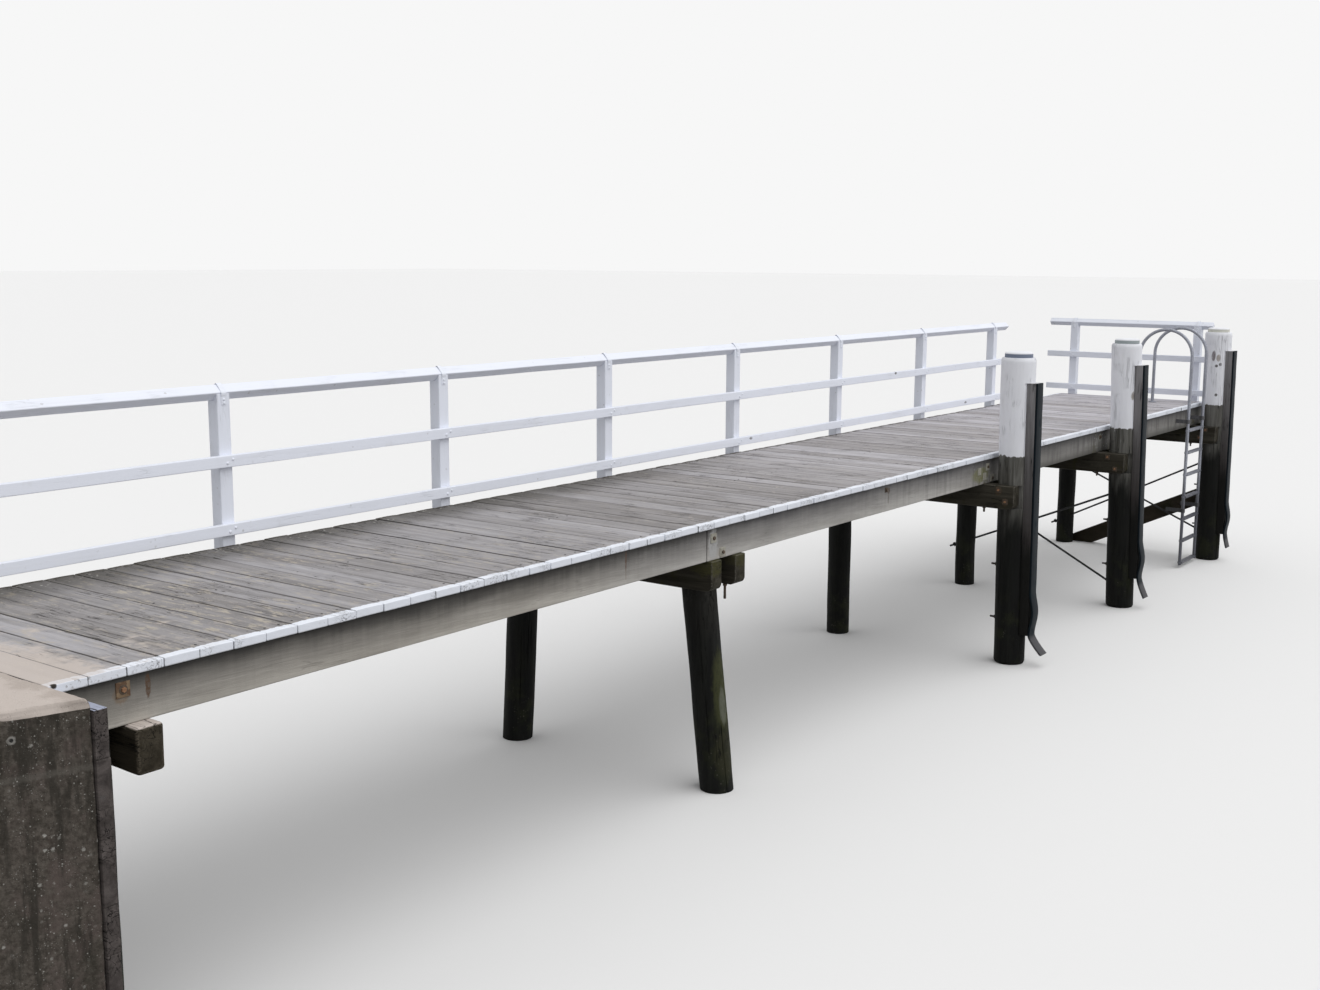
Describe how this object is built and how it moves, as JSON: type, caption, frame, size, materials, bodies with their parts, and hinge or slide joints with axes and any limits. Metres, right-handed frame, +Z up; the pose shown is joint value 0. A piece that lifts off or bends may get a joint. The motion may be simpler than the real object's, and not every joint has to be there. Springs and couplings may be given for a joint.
{
  "type": "wooden jetty",
  "caption": "Planked timber river jetty on piled bents, with a white side railing, an end railing, mooring piles with fenders and a hooped ladder.",
  "frame": {"origin": "middle of the footprint at the level of the pile feet, which is the water level in the picture", "axes": "+X from the shore to the river, +Y towards the railing side, +Z up"},
  "size_m": [17.407, 2.9486, 3.1417],
  "materials": {
    "concrete": "rough cast concrete, dark with damp and lichen",
    "weathered_board": "weathered grey-brown board",
    "deck_timber": "weathered grey planks, ends painted white on the mooring side",
    "girder_timber": "weathered grey-beige timber with rust streaks",
    "mooring_pile": "white paint above the deck, dark weathered timber below",
    "pile_timber": "wet dark timber with green weed",
    "headstock_timber": "dark mossy timber",
    "rusty_steel": "dark rusted steel",
    "white_paint": "white painted timber with knots and worn patches",
    "painted_strap": "white painted steel strap",
    "cap_metal": "grey metal plate with a white top",
    "fender_timber": "dark grey-brown timber",
    "black_rubber": "black rubber strip",
    "galvanised_steel": "dull galvanised tube, darker and weedy near the water"
  },
  "bodies": {
    "root": {"abutment_wall": "concrete", "abutment_board": "weathered_board", "sill_beam": "headstock_timber", "sill_piles": "pile_timber", "bent_1_near_pile": "pile_timber", "bent_1_far_pile": "pile_timber", "bent_1_headstocks": "headstock_timber", "bent_2_near_pile": "mooring_pile", "bent_2_far_pile": "pile_timber", "bent_2_headstocks": "headstock_timber", "bent_3_near_pile": "mooring_pile", "bent_3_far_pile": "pile_timber", "bent_3_headstocks": "headstock_timber", "bent_4_near_pile": "mooring_pile", "bent_4_far_pile": "pile_timber", "bent_4_headstocks": "headstock_timber", "bent_3_tie_rods": "rusty_steel", "bent_4_tie_rods": "rusty_steel", "bent_4_brace": "headstock_timber", "near_girder_shore": "girder_timber", "near_girder_middle": "girder_timber", "near_girder_river": "girder_timber", "middle_girders": "girder_timber", "far_girders": "girder_timber", "deck_planks_1": "deck_timber", "deck_planks_2": "deck_timber", "deck_planks_3": "deck_timber", "deck_planks_4": "deck_timber", "side_posts": "white_paint", "side_top_rail": "white_paint", "side_mid_rail": "white_paint", "side_bottom_rail": "white_paint", "end_posts": "white_paint", "end_top_rail": "white_paint", "end_mid_rail": "white_paint", "end_bottom_rail": "white_paint", "rail_straps": "painted_strap", "pile_caps": "cap_metal", "fender_timbers": "fender_timber", "fender_rubbers": "black_rubber", "ladder_hoops": "galvanised_steel", "ladder_rungs": "galvanised_steel", "ladder_brackets": "galvanised_steel"}
  },
  "joints": []
}
